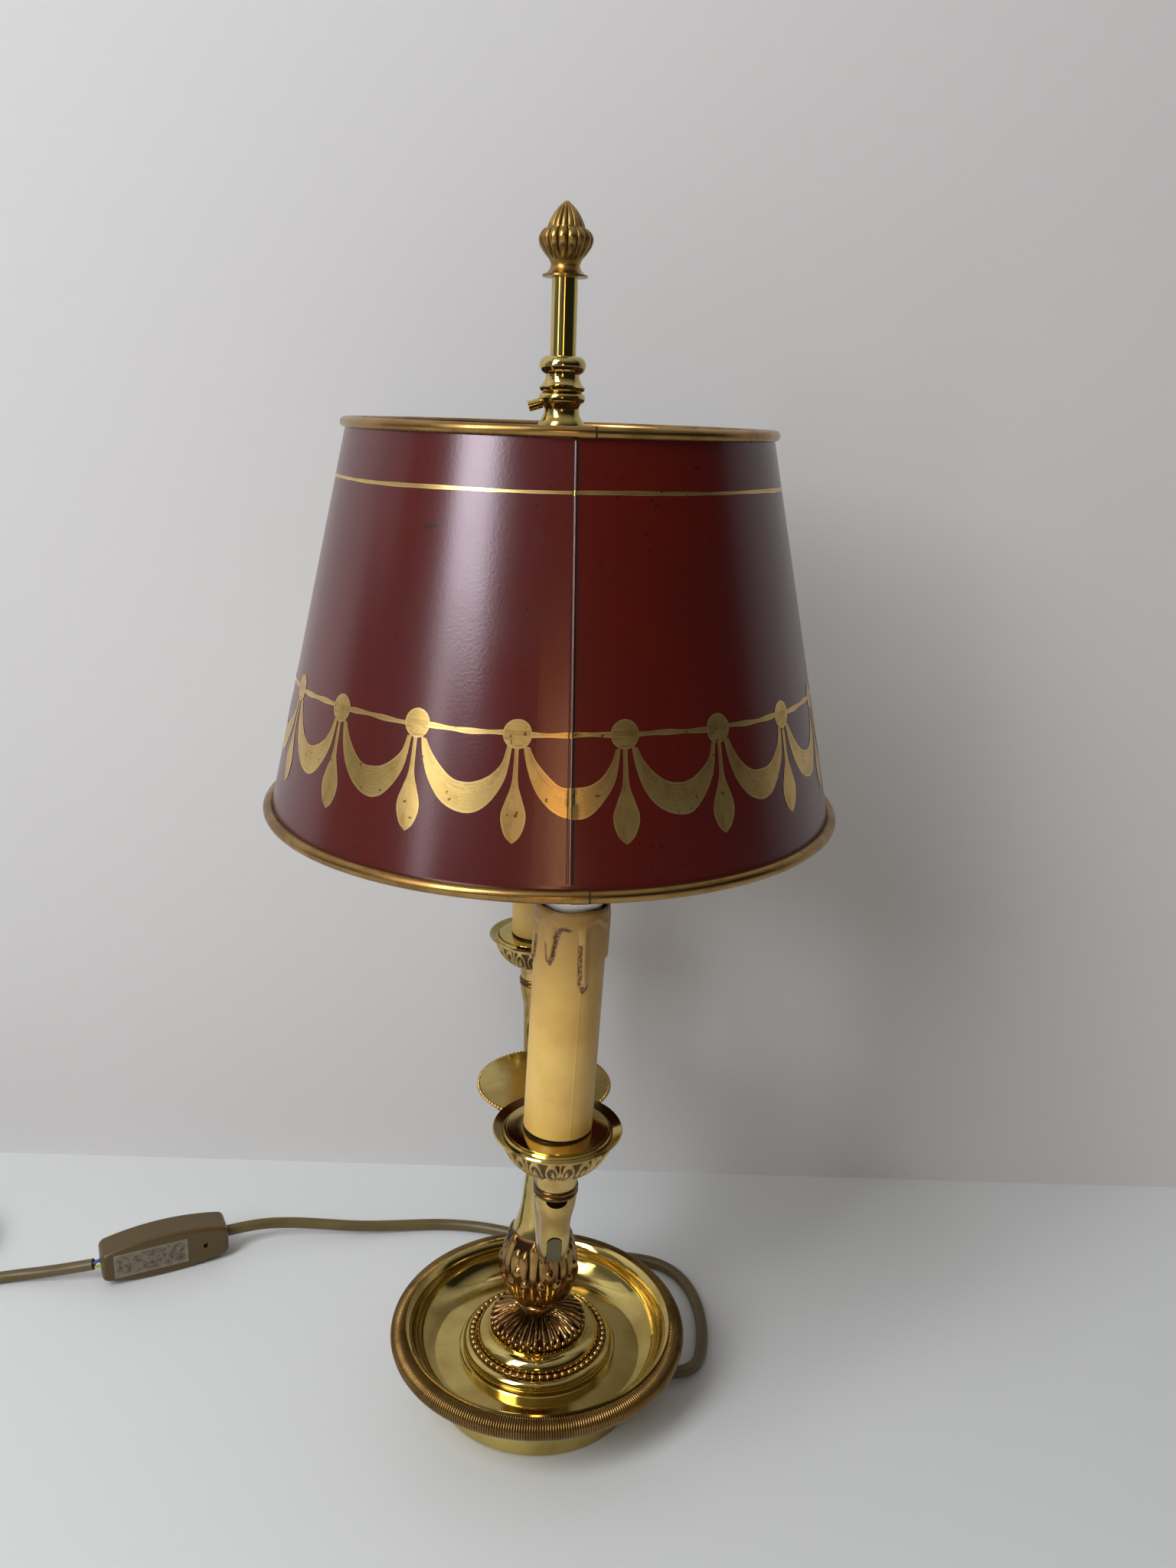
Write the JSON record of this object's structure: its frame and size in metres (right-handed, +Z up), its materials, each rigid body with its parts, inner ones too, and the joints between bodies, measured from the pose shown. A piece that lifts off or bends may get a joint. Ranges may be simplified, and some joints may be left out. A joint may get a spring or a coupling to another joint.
{
  "type": "bouillotte table lamp",
  "caption": "Bouillotte table lamp: dished brass base, acanthus stem, S-shaped arms with candle lights, and a painted metal shade that slides on a rod.",
  "frame": {"origin": "on the table, under the middle of the foot", "axes": "+Z up along the rod, +Y along the back arm, +X to the side where the cord leaves the foot"},
  "size_m": [0.545, 0.3153, 0.5323],
  "materials": {
    "polished_brass": "polished",
    "antique_brass": "satin",
    "felt": "matt",
    "weight_iron": "raw",
    "steel": "plain",
    "ivory_plastic": "satin",
    "dark_plastic": "satin",
    "opal_glass": "opal",
    "cap_metal": "plain",
    "shade_paint": "semi-gloss",
    "cord_pvc": "satin",
    "switch_plastic": "satin",
    "wire_brown": "satin",
    "wire_blue": "satin",
    "wire_earth": "satin",
    "pin_metal": "plain"
  },
  "bodies": {
    "base": {"foot": "antique_brass", "felt_pad": "felt", "weight": "weight_iron", "washer": "steel", "nut": "steel", "tie_tube": "steel", "dish": "polished_brass", "rim_ring": "antique_brass", "pedestal": "polished_brass", "acanthus_dome": "antique_brass", "dome_ring": "antique_brass", "urn": "antique_brass", "stem": "polished_brass", "hub": "polished_brass", "hub_bowl": "polished_brass", "hub_plate": "polished_brass", "rod": "polished_brass", "finial": "antique_brass", "arm_front": "polished_brass", "sleeve_ring_front": "antique_brass", "nipple_front": "steel", "cup_front": "polished_brass", "drip_pan_front": "polished_brass", "lampholder_front": "dark_plastic", "candle_front": "ivory_plastic", "bulb_base_front": "cap_metal", "bulb_front": "opal_glass", "arm_back": "polished_brass", "sleeve_ring_back": "antique_brass", "nipple_back": "steel", "cup_back": "polished_brass", "drip_pan_back": "polished_brass", "lampholder_back": "dark_plastic", "candle_back": "ivory_plastic", "bulb_base_back": "cap_metal", "bulb_back": "opal_glass", "strain_relief": "cord_pvc", "cord_base": "cord_pvc", "switch_front": "switch_plastic", "switch_back": "switch_plastic", "switch_screw": "steel", "wire_brown": "wire_brown", "wire_blue": "wire_blue", "wire_earth": "wire_earth", "cord_plug": "cord_pvc", "cord_coil": "cord_pvc", "cord_end": "cord_pvc", "plug": "cord_pvc", "plug_pin_live": "pin_metal", "plug_pin_earth": "pin_metal", "plug_pin_neutral": "pin_metal"},
    "slider": {"collar": "polished_brass", "ring_nut": "steel"},
    "shade": {"shade_shell": "shade_paint", "shade_rim_bottom": "antique_brass", "shade_rim_top": "antique_brass", "spider": "antique_brass"},
    "screw": {"thumb_screw": "polished_brass"},
    "rocker": {"switch_rocker": "switch_plastic"}
  },
  "joints": [
    {"name": "shade_slide", "type": "slide", "parent": "base", "child": "slider", "axis": [0, 0, 1], "range_m": [-0.006, 0.028]},
    {"name": "shade_turn", "type": "hinge", "parent": "slider", "child": "shade", "pos_m": [0, 0, 0.448], "axis": [0, 0, 1], "continuous": true},
    {"name": "thumb_screw_turn", "type": "hinge", "parent": "slider", "child": "screw", "pos_m": [-0.0076, 0, 0.4597], "axis": [-0.9563, 0, -0.2924], "range_deg": [0, 720]},
    {"name": "switch_rocker_turn", "type": "hinge", "parent": "base", "child": "rocker", "pos_m": [-0.20165, 0.09981, 0.012], "axis": [0, 0, 1], "range_deg": [-14, 0]}
  ]
}
